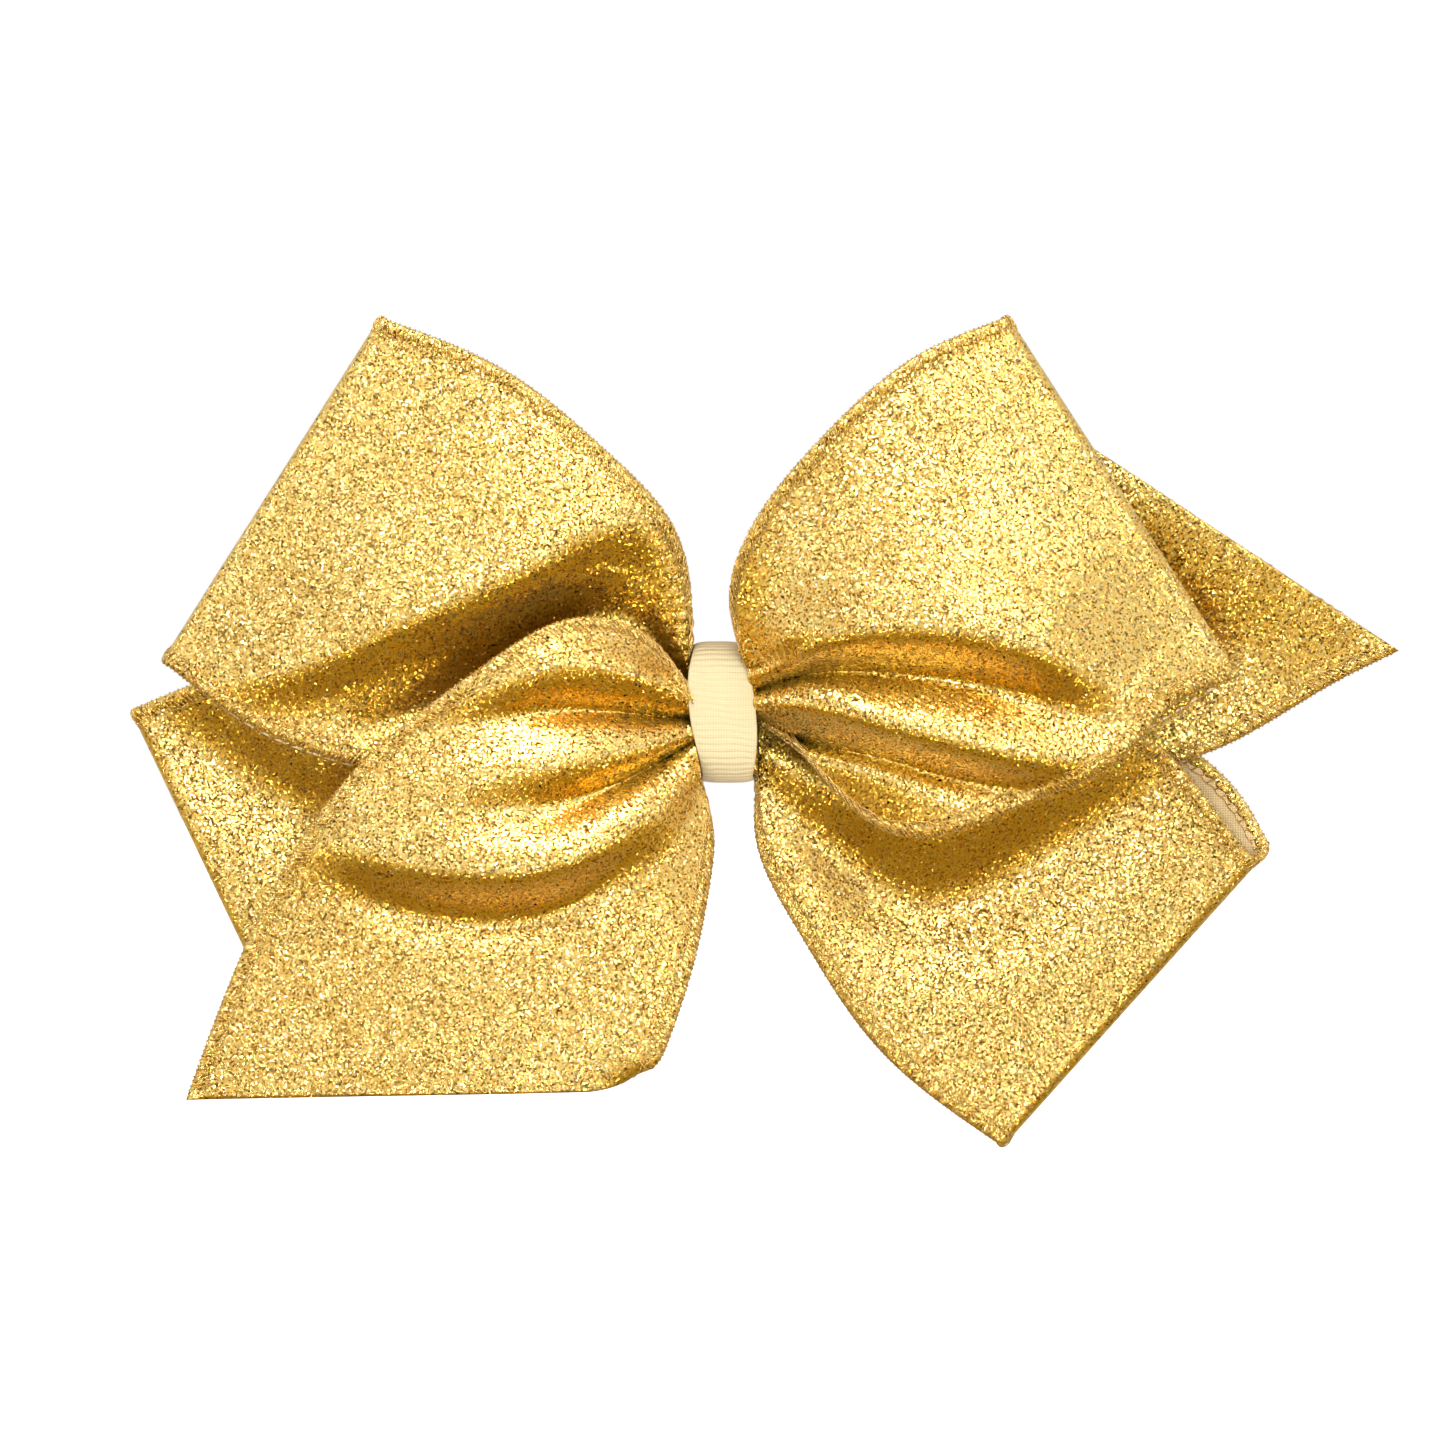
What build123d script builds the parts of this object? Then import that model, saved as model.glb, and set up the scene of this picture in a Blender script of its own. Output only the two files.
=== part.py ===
from build123d import *
import math
import os

os.makedirs("parts", exist_ok=True)

# Cheer hair bow, upright as worn: X to the right, Y to the back (into the hair),
# Z up. The origin is the middle of the barrette's hair gap. Millimetres.

# ---- ribbon ----
FACE_T = 0.5          # gold lame face ply
LINING_T = 0.4        # woven lining ply
SERGE_T = 1.2         # overlocked edge, thread on both sides
SERGE_W = 2.2         # width of the overlocked edge
PASS_PITCH = 2.7      # depth from one ribbon pass to the next in the knot

# ---- knot ----
KNOT_HALF_W = 4.8     # gathered core, half its length along X
WRAP_W = 9.5          # 3/8 inch grosgrain
WRAP_T = 0.6
CORE_HALF_H = 9.1
CORE_DEPTH = 5 * PASS_PITCH
THREAD_W = 2.4
THREAD_T = 0.35
GLUE_T = 0.3

# ---- barrette ----
GAP = 9.5             # base plate to latch arm
PLATE_L, PLATE_W, PLATE_T = 80.0, 10.0, 0.8
PIN_X, PIN_R, PIN_RUN = 37.0, 0.8, 0.05
EYE_T = 0.7           # metal round the pin in every eye and lug
ARM_W, ARM_T = 7.2, 0.9
CLASP_X = -36.0
PRONG_Z, PRONG_T, PRONG_W = 1.8, 0.5, 4.0
CLEAR = 0.3

PLATE_BACK = -GAP / 2
PLATE_FRONT = PLATE_BACK - PLATE_T
CORE_BACK = PLATE_FRONT - GLUE_T


def depth(q):
    """Y of a point q mm in front of the back of the gathered core."""
    return CORE_BACK - q


# Depth of each pass of the ribbon through the knot, from the front one back.
PASS = [CORE_DEPTH - PASS_PITCH * (i + 0.5) for i in range(5)]


def keep(solid, node, colour):
    solid.label = node
    solid.color = Color(*colour)
    export_step(solid, f"parts/{node}.step")


GOLD = (0.86, 0.69, 0.36)
CREAM = (0.93, 0.85, 0.66)
TAN = (0.80, 0.68, 0.45)
STEEL = (0.75, 0.76, 0.78)


# ------------------------------------------------------------------ ribbon
def side_curve(centre, shift, samples=48):
    """Spline beside an open centre line, shifted along its left normal."""
    points = []
    for i in range(samples + 1):
        at = centre.position_at(i / samples)
        along = centre.tangent_at(i / samples)
        points.append((at.X - along.Y * shift, at.Y + along.X * shift))
    return points


def shell(plane, centre, low, high):
    """Prism, both ways from the plane, between two curves beside the centre line."""
    one = side_curve(centre, low)
    two = side_curve(centre, high)
    rim = [Spline(*one), Line(one[-1], two[-1]), Spline(*two[::-1]), Line(two[0], one[0])]
    return extrude(plane * make_face(Wire(rim)), 120, both=True)


def strip(edge, inside):
    """Flat strip along an edge curve: the overlocked width inwards and a margin outwards."""
    far, near = side_curve(edge, -1.5 * inside, 20), side_curve(edge, SERGE_W * inside, 20)
    for row in (far, near):
        for end, next_to in ((0, 1), (-1, -2)):
            a, b = row[end], row[next_to]
            size = math.dist(a, b)
            longer = (a[0] + (a[0] - b[0]) / size * 5, a[1] + (a[1] - b[1]) / size * 5)
            row.insert(0 if end == 0 else len(row), longer)
    rim = [Spline(*far), Line(far[-1], near[-1]), Spline(*near[::-1]), Line(near[0], far[0])]
    return make_face(Wire(rim))


def planform(upper, lower, end_shift):
    """Outline seen from the front, split into its middle and its two overlocked edges."""
    top, bottom = Spline(*upper), Spline(*lower)
    ax, az = upper[-1]
    bx, bz = lower[-1]
    shift = (end_shift[0], end_shift[1])
    rim = [top]
    if shift != (0, 0):
        rim.append(Line((ax, az), (ax + shift[0], az + shift[1])))
        rim.append(Line((bx + shift[0], bz + shift[1]), (bx, bz)))
    rim.append(Line((ax + shift[0], az + shift[1]), (bx + shift[0], bz + shift[1])))
    rim.append(bottom)
    rim.append(Line(lower[0], upper[0]))
    whole = make_face(Wire(rim))
    way = 1 if ax < 0 else -1
    edge_one = whole & strip(top, way)
    edge_two = whole & strip(bottom, -way)
    return whole - edge_one - edge_two, edge_one + edge_two


def standing(face):
    """Prism from a front outline, cut clear of the wrapped knot."""
    knot = Box(2 * KNOT_HALF_W, 200, 2 * (CORE_HALF_H + WRAP_T + 0.1))
    return extrude(Plane.XZ * face, 60, both=True) - knot


def make_lobe(name, upper, lower, across, front, fold=None, back=()):
    """One loop or tail: face ply, lining ply and overlocked edges.

    across is the (x, z) way the side profile runs in; front and back list its
    (distance, depth) points, and fold is the (reach, centre depth, radius) of the turn.
    """
    size = math.hypot(*across)
    px, pz = across[0] / size, across[1] / size
    plane = Plane(origin=(0, CORE_BACK, 0), x_dir=(px, 0, pz), z_dir=(pz, 0, -px))
    if fold:
        reach, middle, r = fold
        turn = reach - r - (FACE_T + LINING_T) / 2
        bend = [(turn + r * math.cos(a), middle + r * math.sin(a))
                for a in (math.radians(deg) for deg in (60, 30, 0, -30, -60))]
        line = Spline(*front, *bend, *back)
        shift = (px * 2, pz * 2)
    else:
        line = Spline(*front)
        shift = (0, 0)
    # The profile is drawn outwards from the knot, so its left side is the front.
    middle_area, edges = planform(upper, lower, shift)
    wall = (FACE_T + LINING_T) / 2
    seam = wall - FACE_T
    cut = standing(middle_area)
    keep(shell(plane, line, seam, wall) & cut, name + "_face", GOLD)
    keep(shell(plane, line, -wall, seam) & cut, name + "_lining", TAN)
    keep(shell(plane, line, -SERGE_T / 2, SERGE_T / 2) & standing(edges), name + "_edging", GOLD)


make_lobe(
    "front_tail",
    upper=[(-4.9, 3.0), (-11.5, 11.0), (-19.6, 13.3), (-32.9, 7.1), (-51.5, -7.7),
           (-63.3, -24.1), (-76.4, -55.1)],
    lower=[(-3.6, -10.4), (-1.7, -17.0), (-2.1, -23.3), (-4.4, -35.1), (-10.7, -53.3)],
    across=(-1, 0),
    front=[(-2, PASS[0]), (5, 12.6), (12, 15.2), (22, 18.5), (35, 19.6), (50, 18.6),
           (65, 15.5), (79, 11.5)],
)

make_lobe(
    "right_upper_loop",
    upper=[(2.6, 10.4), (1.0, 15.5), (3.4, 25.0), (13.6, 38.2), (27.5, 50.0), (38.5, 54.8)],
    lower=[(4.9, -2.5), (9.7, -5.6), (14.6, -10.6), (23.7, -17.0), (43.2, -12.4),
           (58.9, -3.7), (71.0, 4.5)],
    across=(0.84, 0.543),
    front=[(-2, PASS[0]), (4, 12.6), (10, 15.5), (20, 20.0), (35, 23.5), (50, 22.4)],
    fold=(62.1, 17.0, 4.6),
    back=[(50, 12.3), (35, 12.2), (20, 11.6), (10, 10.4), (4, 9.6), (-2, PASS[1])],
)

make_lobe(
    "left_upper_loop",
    upper=[(-4.9, 9.0), (-4.9, 16.0), (-7.2, 25.8), (-15.8, 35.9), (-31.4, 48.4), (-47.7, 55.4)],
    lower=[(-4.9, -8.4), (-20.0, -10.5), (-36.0, -11.0), (-51.1, -7.7), (-67.6, -1.4),
           (-78.7, 6.5)],
    across=(-0.845, 0.535),
    front=[(-6, PASS[1]), (5, 9.6), (15, 10.6), (30, 13.6), (50, 15.6), (62, 15.3)],
    fold=(70.0, 12.0, 3.4),
    back=[(60, 8.6), (50, 8.5), (30, 8.1), (15, 7.4), (5, 6.85), (-6, PASS[2])],
)

make_lobe(
    "right_lower_loop",
    upper=[(4.9, 7.5), (25.0, 6.5), (50.0, 1.5), (68.7, -6.2), (78.4, -18.6)],
    lower=[(4.9, -9.0), (4.9, -17.0), (10.5, -31.1), (22.2, -48.3), (39.1, -61.8)],
    across=(0.74, -0.673),
    front=[(-4, PASS[2]), (5, 6.9), (15, 7.4), (30, 8.6), (45, 9.2), (60, 8.8)],
    fold=(70.5, 4.6, 3.6),
    back=[(60, 0.8), (45, 1.0), (20, 1.3), (5, 1.35), (-4, PASS[4])],
)

make_lobe(
    "rear_tail",
    upper=[(4.9, 8.2), (12.0, 14.0), (25.0, 28.0), (41.9, 45.0)],
    lower=[(4.9, -8.2), (25.0, -10.5), (50.0, -9.0), (68.9, -6.0), (87.8, 4.4), (96.8, 8.9)],
    across=(1, 0),
    front=[(-2, PASS[3]), (10, 4.0), (30, 3.9), (50, 4.0), (70, 4.3), (99, 5.5)],
)

make_lobe(
    "left_lower_loop",
    upper=[(-4.9, 8.0), (-35.0, 10.0), (-60.0, 7.5), (-77.0, 3.5), (-84.6, 0.7)],
    lower=[(-4.9, -8.4), (-14.0, -19.0), (-34.0, -36.0), (-59.8, -51.3)],
    across=(-0.903, -0.43),
    front=[(-3, PASS[3]), (5, 4.05), (20, 4.7), (40, 5.6), (60, 5.7)],
    fold=(76.1, 2.7, 2.9),
    back=[(60, 0.6), (45, 1.3), (20, 1.5), (5, 1.38), (-3, PASS[4])],
)


# ------------------------------------------------------------------ knot
def knot_outline(grow):
    """Side outline of the gathered core, grown outwards by the stated amount."""
    with BuildSketch(Plane.YZ) as side:
        with Locations(((depth(0) + depth(CORE_DEPTH)) / 2, 0)):
            RectangleRounded(CORE_DEPTH + 2 * grow, 2 * (CORE_HALF_H + grow), 4.0 + grow)
    return side.sketch


def band_outline(grow):
    """Side outline of the core and base plate together, as a band pulled round both."""
    front, back = depth(CORE_DEPTH), PLATE_BACK
    half = CORE_HALF_H
    corners = [(front, -half), (depth(1.5), -half), (back, -PLATE_W / 2),
               (back, PLATE_W / 2), (depth(1.5), half), (front, half)]
    face = make_face(Polyline(*corners, close=True))
    face = fillet([v for v in face.vertices() if v.X < depth(10)], 4.0)
    return Plane.YZ * (offset(face, grow, kind=Kind.ARC) if grow else face)


groove = extrude(knot_outline(0), THREAD_W / 2, both=True)
groove -= extrude(knot_outline(-THREAD_T), THREAD_W, both=True)
core = extrude(knot_outline(0), KNOT_HALF_W, both=True) - groove
keep(core, "ribbon_core", GOLD)
keep(groove, "cinch_thread", CREAM)

wrap = extrude(band_outline(WRAP_T), WRAP_W / 2, both=True)
wrap -= extrude(band_outline(0), WRAP_W, both=True)
keep(wrap, "knot_wrap", CREAM)

pad = Pos(0, (PLATE_FRONT + CORE_BACK) / 2, 0) * Box(WRAP_W, GLUE_T, PLATE_W)
keep(pad, "glue_pad", CREAM)


# ------------------------------------------------------------------ barrette
def eye(z_from, z_to, bore=True):
    """Rolled eye or lug round the hinge pin between two heights."""
    height = z_to - z_from
    place = Pos(PIN_X, 0, (z_from + z_to) / 2)
    body = place * Cylinder(PIN_R + PIN_RUN + EYE_T, height)
    return body - place * Cylinder(PIN_R + PIN_RUN, height + 1) if bore else body


def block(x0, x1, y0, y1, z0, z1):
    at = Pos((x0 + x1) / 2, (y0 + y1) / 2, (z0 + z1) / 2)
    return at * Box(x1 - x0, y1 - y0, z1 - z0)


EYE_R = PIN_R + PIN_RUN + EYE_T
EAR_IN = ARM_W / 2 + CLEAR
EAR_OUT = PLATE_W / 2

plate = Pos(0, (PLATE_BACK + PLATE_FRONT) / 2, 0) * Box(PLATE_L, PLATE_T, PLATE_W)
plate = fillet(plate.edges().filter_by(Axis.Y), 3.0)
for sign in (-1, 1):
    low, high = sorted((sign * EAR_IN, sign * EAR_OUT))
    ear = block(PIN_X - EYE_R, PIN_X + EYE_R, PLATE_BACK, 0, low, high)
    ear += Pos(PIN_X, 0, (low + high) / 2) * Cylinder(EYE_R, high - low)
    plate += ear - Pos(PIN_X, 0, 0) * Cylinder(PIN_R, 20)
rivet_hole = Pos(CLASP_X, 0, 0) * Rot(90, 0, 0) * Cylinder(0.9, 40)
keep(plate - rivet_hole, "base_plate", STEEL)

pin = Pos(PIN_X, 0, 0) * Cylinder(PIN_R, PLATE_W + 0.4)
for sign in (-1, 1):
    pin += Pos(PIN_X, 0, sign * (EAR_OUT + 0.3)) * Cylinder(PIN_R + 0.45, 0.6)
keep(pin, "hinge_pin", STEEL)

# The latch arm: two lugs on the pin, a flat bar and a window near its free end.
ARM_END = CLASP_X - PRONG_W / 2 - 2.4
arm = block(ARM_END, PIN_X + EYE_R, GAP / 2, GAP / 2 + ARM_T, -ARM_W / 2, ARM_W / 2)
arm = fillet(arm.edges().filter_by(Axis.Y).sort_by(Axis.X)[:2], 2.5)
EYE_HALF = 1.4
for sign in (-1, 1):
    low, high = sorted((sign * (EYE_HALF + CLEAR), sign * ARM_W / 2))
    lug = block(PIN_X - EYE_R, PIN_X + EYE_R, 0, GAP / 2 + ARM_T, low, high)
    lug += Pos(PIN_X, 0, (low + high) / 2) * Cylinder(EYE_R, high - low)
    arm += lug
arm -= Pos(PIN_X, 0, 0) * Cylinder(PIN_R + PIN_RUN, 20)
window = block(CLASP_X - PRONG_W / 2 - 0.6, CLASP_X + PRONG_W / 2 + 0.6, 0, 10, -2.7, 2.7)
keep(arm - window, "latch_arm", STEEL)

# The leaf spring: an eye on the pin and a long, slightly bowed strip.
LEAF_T = 0.4
LEAF_TIP = -27.0
leaf_line = Spline((PIN_X, -EYE_R + LEAF_T / 2), (20, -1.25), (0, -0.9), (LEAF_TIP, -2.0))
top_side = side_curve(leaf_line, LEAF_T / 2, 24)
low_side = side_curve(leaf_line, -LEAF_T / 2, 24)
leaf_rim = [Spline(*top_side), Line(top_side[-1], low_side[-1]),
            Spline(*low_side[::-1]), Line(low_side[0], top_side[0])]
leaf = extrude(make_face(Wire(leaf_rim)), EYE_HALF, both=True)
leaf -= Pos(PIN_X, 0, 0) * Cylinder(PIN_R + PIN_RUN, 20)
leaf += eye(-EYE_HALF, EYE_HALF)
keep(leaf, "leaf_spring", STEEL)

# The clasp: a riveted foot and two prongs that are pinched towards each other.
FOOT_T = 0.5
foot = block(CLASP_X - 3, CLASP_X + 3, PLATE_BACK, PLATE_BACK + FOOT_T, -3, 3)
foot = fillet(foot.edges().filter_by(Axis.Y), 1.0)
keep(foot - rivet_hole, "clasp_foot", STEEL)

rivet = Pos(CLASP_X, (PLATE_FRONT + PLATE_BACK + FOOT_T) / 2, 0) * Rot(90, 0, 0)
rivet *= Cylinder(0.9, PLATE_T + FOOT_T)
for y in (PLATE_FRONT - 0.2, PLATE_BACK + FOOT_T + 0.2):
    rivet += Pos(CLASP_X, y, 0) * Rot(90, 0, 0) * Cylinder(1.25, 0.4)
keep(rivet, "clasp_rivet", STEEL)

for sign, side in ((1, "upper"), (-1, "lower")):
    root = PLATE_BACK + FOOT_T + CLEAR + PRONG_T / 2
    z0, z1 = sorted((sign * (PRONG_Z - PRONG_T / 2), sign * (PRONG_Z + PRONG_T / 2)))
    prong = block(CLASP_X - PRONG_W / 2, CLASP_X + PRONG_W / 2, root, 9.0, z0, z1)
    prong += Pos(CLASP_X, root, sign * PRONG_Z) * Rot(0, 90, 0) * Cylinder(PRONG_T / 2, PRONG_W)
    z0, z1 = sorted((sign * PRONG_Z, sign * 2.6))
    prong += block(CLASP_X - 1.2, CLASP_X + 1.2, GAP / 2 + ARM_T + CLEAR, 6.8, z0, z1)
    keep(prong, "clasp_prong_" + side, STEEL)
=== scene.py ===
import math

import bpy
import numpy as np
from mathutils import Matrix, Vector


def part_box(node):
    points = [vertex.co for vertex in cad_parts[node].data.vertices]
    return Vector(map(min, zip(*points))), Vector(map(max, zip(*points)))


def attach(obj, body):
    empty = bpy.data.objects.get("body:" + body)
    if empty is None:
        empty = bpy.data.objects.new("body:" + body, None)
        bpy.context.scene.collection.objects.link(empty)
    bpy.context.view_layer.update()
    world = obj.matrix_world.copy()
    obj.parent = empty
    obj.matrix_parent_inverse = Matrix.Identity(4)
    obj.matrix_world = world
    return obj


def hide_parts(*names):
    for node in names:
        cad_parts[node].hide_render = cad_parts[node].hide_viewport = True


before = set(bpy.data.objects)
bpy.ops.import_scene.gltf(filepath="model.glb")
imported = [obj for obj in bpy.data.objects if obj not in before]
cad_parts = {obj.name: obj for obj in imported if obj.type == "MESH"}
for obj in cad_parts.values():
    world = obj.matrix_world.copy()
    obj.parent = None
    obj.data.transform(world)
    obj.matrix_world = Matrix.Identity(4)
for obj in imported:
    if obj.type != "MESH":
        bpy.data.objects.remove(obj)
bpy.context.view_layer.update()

MM = 0.001
CORE_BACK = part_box("ribbon_core")[1][1] / MM      # depth of the knot's flat back, mm


# ------------------------------------------------------------- materials
def socket(node, name, value):
    """Set a node's input to a plain value."""
    node.inputs[name].default_value = value


def new_material(name, base, roughness, metallic=0.0):
    """A material, its node tree and its shader node."""
    mat = bpy.data.materials.new(name)
    mat.use_nodes = True
    shader = mat.node_tree.nodes["Principled BSDF"]
    socket(shader, "Base Color", (*base, 1))
    socket(shader, "Roughness", roughness)
    socket(shader, "Metallic", metallic)
    return mat, mat.node_tree, shader


def add(tree, kind, **values):
    """A new node with these settings."""
    node = tree.nodes.new(kind)
    for key, value in values.items():
        setattr(node, key, value)
    return node


def ramp(tree, factor, stops):
    """Colour read off a ramp of (place, colour) stops."""
    node = add(tree, "ShaderNodeValToRGB")
    bar = node.color_ramp
    while len(bar.elements) < len(stops):
        bar.elements.new(0.5)
    for element, (where, colour) in zip(bar.elements, stops):
        element.position = where
        element.color = (*colour, 1)
    tree.links.new(factor, node.inputs["Fac"])
    return node.outputs["Color"]


def remap(tree, value, low, high, to_low=0.0, to_high=1.0):
    """Carry the range low..high to another, held at its ends; low may be the larger."""
    node = add(tree, "ShaderNodeMapRange")
    for key, number in (("From Min", low), ("From Max", high),
                        ("To Min", to_low), ("To Max", to_high)):
        socket(node, key, number)
    tree.links.new(value, node.inputs["Value"])
    return node.outputs["Result"]


MIX_A, MIX_B, MIX_RESULT = 6, 7, 2      # the colour sockets of a Mix node


def multiply(tree, first, second, share=None):
    """The first colour times the second, or only that share of the change."""
    mix = add(tree, "ShaderNodeMix", data_type="RGBA", blend_type="MULTIPLY")
    socket(mix, "Factor", 1.0)
    if share is not None:
        tree.links.new(share, mix.inputs["Factor"])
    tree.links.new(first, mix.inputs[MIX_A])
    tree.links.new(second, mix.inputs[MIX_B])
    return mix.outputs[MIX_RESULT]


def split_normal(tree):
    """The surface's own normal, and its x, y and z."""
    normal = add(tree, "ShaderNodeNewGeometry").outputs["Normal"]
    parts = add(tree, "ShaderNodeSeparateXYZ")
    tree.links.new(normal, parts.inputs["Vector"])
    return normal, parts.outputs


def absolute(tree, value):
    node = add(tree, "ShaderNodeMath", operation="ABSOLUTE")
    tree.links.new(value, node.inputs[0])
    return node.outputs[0]


def bumped(tree, height, strength, depth, normal=None):
    """Normal socket of a bump over the surface, or over a normal already made."""
    bump = add(tree, "ShaderNodeBump")
    socket(bump, "Strength", strength)
    socket(bump, "Distance", depth)
    tree.links.new(height, bump.inputs["Height"])
    if normal is not None:
        tree.links.new(normal, bump.inputs["Normal"])
    return bump.outputs["Normal"]


FLAKE_COLOURS = [(0.0, (0.45, 0.20, 0.03)), (0.10, (0.78, 0.44, 0.09)), (0.2, (0.98, 0.63, 0.155)),
                 (0.75, (0.98, 0.69, 0.20)), (1.0, (1.0, 0.85, 0.42))]
PATCH_TONES = [(0.3, (0.92, 0.88, 0.80)), (0.7, (1, 1, 1))]
# Painted shade for the gold: a darker, warmer tone laid where a surface faces down.
PAINTED_SHADE_FACING_DOWN = [(0.28, (0.78, 0.60, 0.13)), (0.40, (0.91, 0.79, 0.42)), (0.49, (1, 1, 1))]
# Painted crease shade: the flakes' colour is darkened by ambient occlusion in creases and under
# lobes.
PAINTED_CREASE_SHADE = [(0.10, (0.22, 0.24, 0.12)), (0.42, (0.68, 0.74, 0.44)), (0.75, (1, 1, 1))]
STANDS_FROM, STANDS_TO = 0.76, 0.79      # flakes above this chance stand up from the cloth
STAND_LEAN = 2.4
FRONT_FROM, FRONT_TO = 0.45, 0.75        # how far a surface faces front or back, 0 to 1
CREASE_SHADE_REACH = 0.017
PATCH_SCALE = 90


def glitter(name, flake_scale, lean_by, metal):
    """Gold lame: tiny foil flakes, each tilted its own way, over a fine weave."""
    mat, tree, shader = new_material(name, (0.9, 0.66, 0.26), 0.21, metal)
    link = tree.links.new
    coord = add(tree, "ShaderNodeTexCoord").outputs["Object"]
    flakes = add(tree, "ShaderNodeTexVoronoi", voronoi_dimensions="3D", feature="F1")
    socket(flakes, "Scale", flake_scale)
    link(coord, flakes.inputs["Vector"])
    chance = add(tree, "ShaderNodeSeparateColor")
    link(flakes.outputs["Color"], chance.inputs["Color"])
    # About a fifth of the flakes stand up far enough to catch a light from anywhere.
    lean = remap(tree, chance.outputs["Green"], STANDS_FROM, STANDS_TO, lean_by, STAND_LEAN)
    lies_flat = remap(tree, chance.outputs["Green"], STANDS_TO, STANDS_FROM)

    cloud = add(tree, "ShaderNodeTexNoise")
    socket(cloud, "Scale", PATCH_SCALE)
    link(coord, cloud.inputs["Vector"])
    colour = multiply(tree, ramp(tree, chance.outputs["Red"], FLAKE_COLOURS),
                      ramp(tree, cloud.outputs["Fac"], PATCH_TONES))
    # Painted shade: the flat flakes are painted a deeper, warmer gold where a fold faces down, away
    # from the light above, and darker again in a crease, standing in for shade and gold reflected
    # in gold.
    normal, facing = split_normal(tree)
    # Painted shade read from the normal: warm is the darker gold laid where the surface faces down.
    warm = ramp(tree, remap(tree, facing["Z"], -1, 1), PAINTED_SHADE_FACING_DOWN)
    share = add(tree, "ShaderNodeMath", operation="MULTIPLY")
    link(remap(tree, absolute(tree, facing["Y"]), FRONT_FROM, FRONT_TO), share.inputs[0])
    link(lies_flat, share.inputs[1])
    colour = multiply(tree, colour, warm, share.outputs[0])
    # Painted crease shade: ambient occlusion darkens the flat flakes where the cloth folds close.
    crease_shade_ao = add(tree, "ShaderNodeAmbientOcclusion", samples=6)
    socket(crease_shade_ao, "Distance", CREASE_SHADE_REACH)
    colour = multiply(tree, colour, ramp(tree, crease_shade_ao.outputs["AO"], PAINTED_CREASE_SHADE), lies_flat)
    link(colour, shader.inputs["Base Color"])

    # Each flake's normal: its random colour, centred and scaled, added to the cloth's normal.
    centred = add(tree, "ShaderNodeVectorMath", operation="SUBTRACT")
    link(flakes.outputs["Color"], centred.inputs[0])
    centred.inputs[1].default_value = (0.5, 0.5, 0.5)
    tilt = add(tree, "ShaderNodeVectorMath", operation="SCALE")
    link(centred.outputs["Vector"], tilt.inputs[0])
    link(lean, tilt.inputs["Scale"])
    total = add(tree, "ShaderNodeVectorMath", operation="ADD")
    link(normal, total.inputs[0])
    link(tilt.outputs["Vector"], total.inputs[1])
    unit = add(tree, "ShaderNodeVectorMath", operation="NORMALIZE")
    link(total.outputs["Vector"], unit.inputs[0])
    weave = add(tree, "ShaderNodeTexWave", bands_direction="DIAGONAL")
    socket(weave, "Scale", 420)
    socket(weave, "Distortion", 2.0)
    link(coord, weave.inputs["Vector"])
    link(bumped(tree, weave.outputs["Fac"], 0.15, 0.00010, unit.outputs["Vector"]),
         shader.inputs["Normal"])
    return mat


def cloth(name, dark, light, scale, roughness, sheen, metallic=0.0):
    """Plain woven cloth or thread: two crossed sets of fine ridges."""
    mat, tree, shader = new_material(name, light, roughness, metallic)
    link = tree.links.new
    coord = add(tree, "ShaderNodeTexCoord").outputs["Object"]
    total = add(tree, "ShaderNodeMath", operation="ADD")
    for place, direction in enumerate(("X", "Z")):
        wave = add(tree, "ShaderNodeTexWave", bands_direction=direction)
        socket(wave, "Scale", scale)
        socket(wave, "Distortion", 1.2)
        socket(wave, "Detail", 1.0)
        link(coord, wave.inputs["Vector"])
        link(wave.outputs["Fac"], total.inputs[place])
    height = add(tree, "ShaderNodeMath", operation="MULTIPLY")
    link(total.outputs[0], height.inputs[0])
    height.inputs[1].default_value = 0.5
    weave = height.outputs[0]
    link(ramp(tree, weave, [(0.15, dark), (0.75, light)]), shader.inputs["Base Color"])
    link(bumped(tree, weave, 0.6, 0.00008), shader.inputs["Normal"])
    socket(shader, "Sheen Weight", sheen)
    return mat


def paint_turned_shade(mat, colour):
    """Painted shade: deepen a cloth's colour where it turns up or down, away from the front."""
    tree = mat.node_tree
    base = tree.nodes["Principled BSDF"].inputs["Base Color"]
    _, facing = split_normal(tree)
    shade = ramp(tree, absolute(tree, facing["Y"]), [(0.35, colour), (0.93, (1, 1, 1))])
    tree.links.new(multiply(tree, base.links[0].from_socket, shade), base)


def steel():
    """Nickel-plated strip with a fine grain along its length."""
    mat, tree, shader = new_material("nickel_steel", (0.60, 0.60, 0.61), 0.22, 1.0)
    link = tree.links.new
    stretch = add(tree, "ShaderNodeMapping")
    stretch.inputs["Scale"].default_value = (60, 1800, 1800)
    link(add(tree, "ShaderNodeTexCoord").outputs["Object"], stretch.inputs["Vector"])
    grain = add(tree, "ShaderNodeTexNoise")
    socket(grain, "Scale", 1.0)
    link(stretch.outputs["Vector"], grain.inputs["Vector"])
    link(remap(tree, grain.outputs["Fac"], 0, 1, 0.12, 0.34), shader.inputs["Roughness"])
    link(bumped(tree, grain.outputs["Fac"], 0.15, 0.00003), shader.inputs["Normal"])
    return mat


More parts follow.
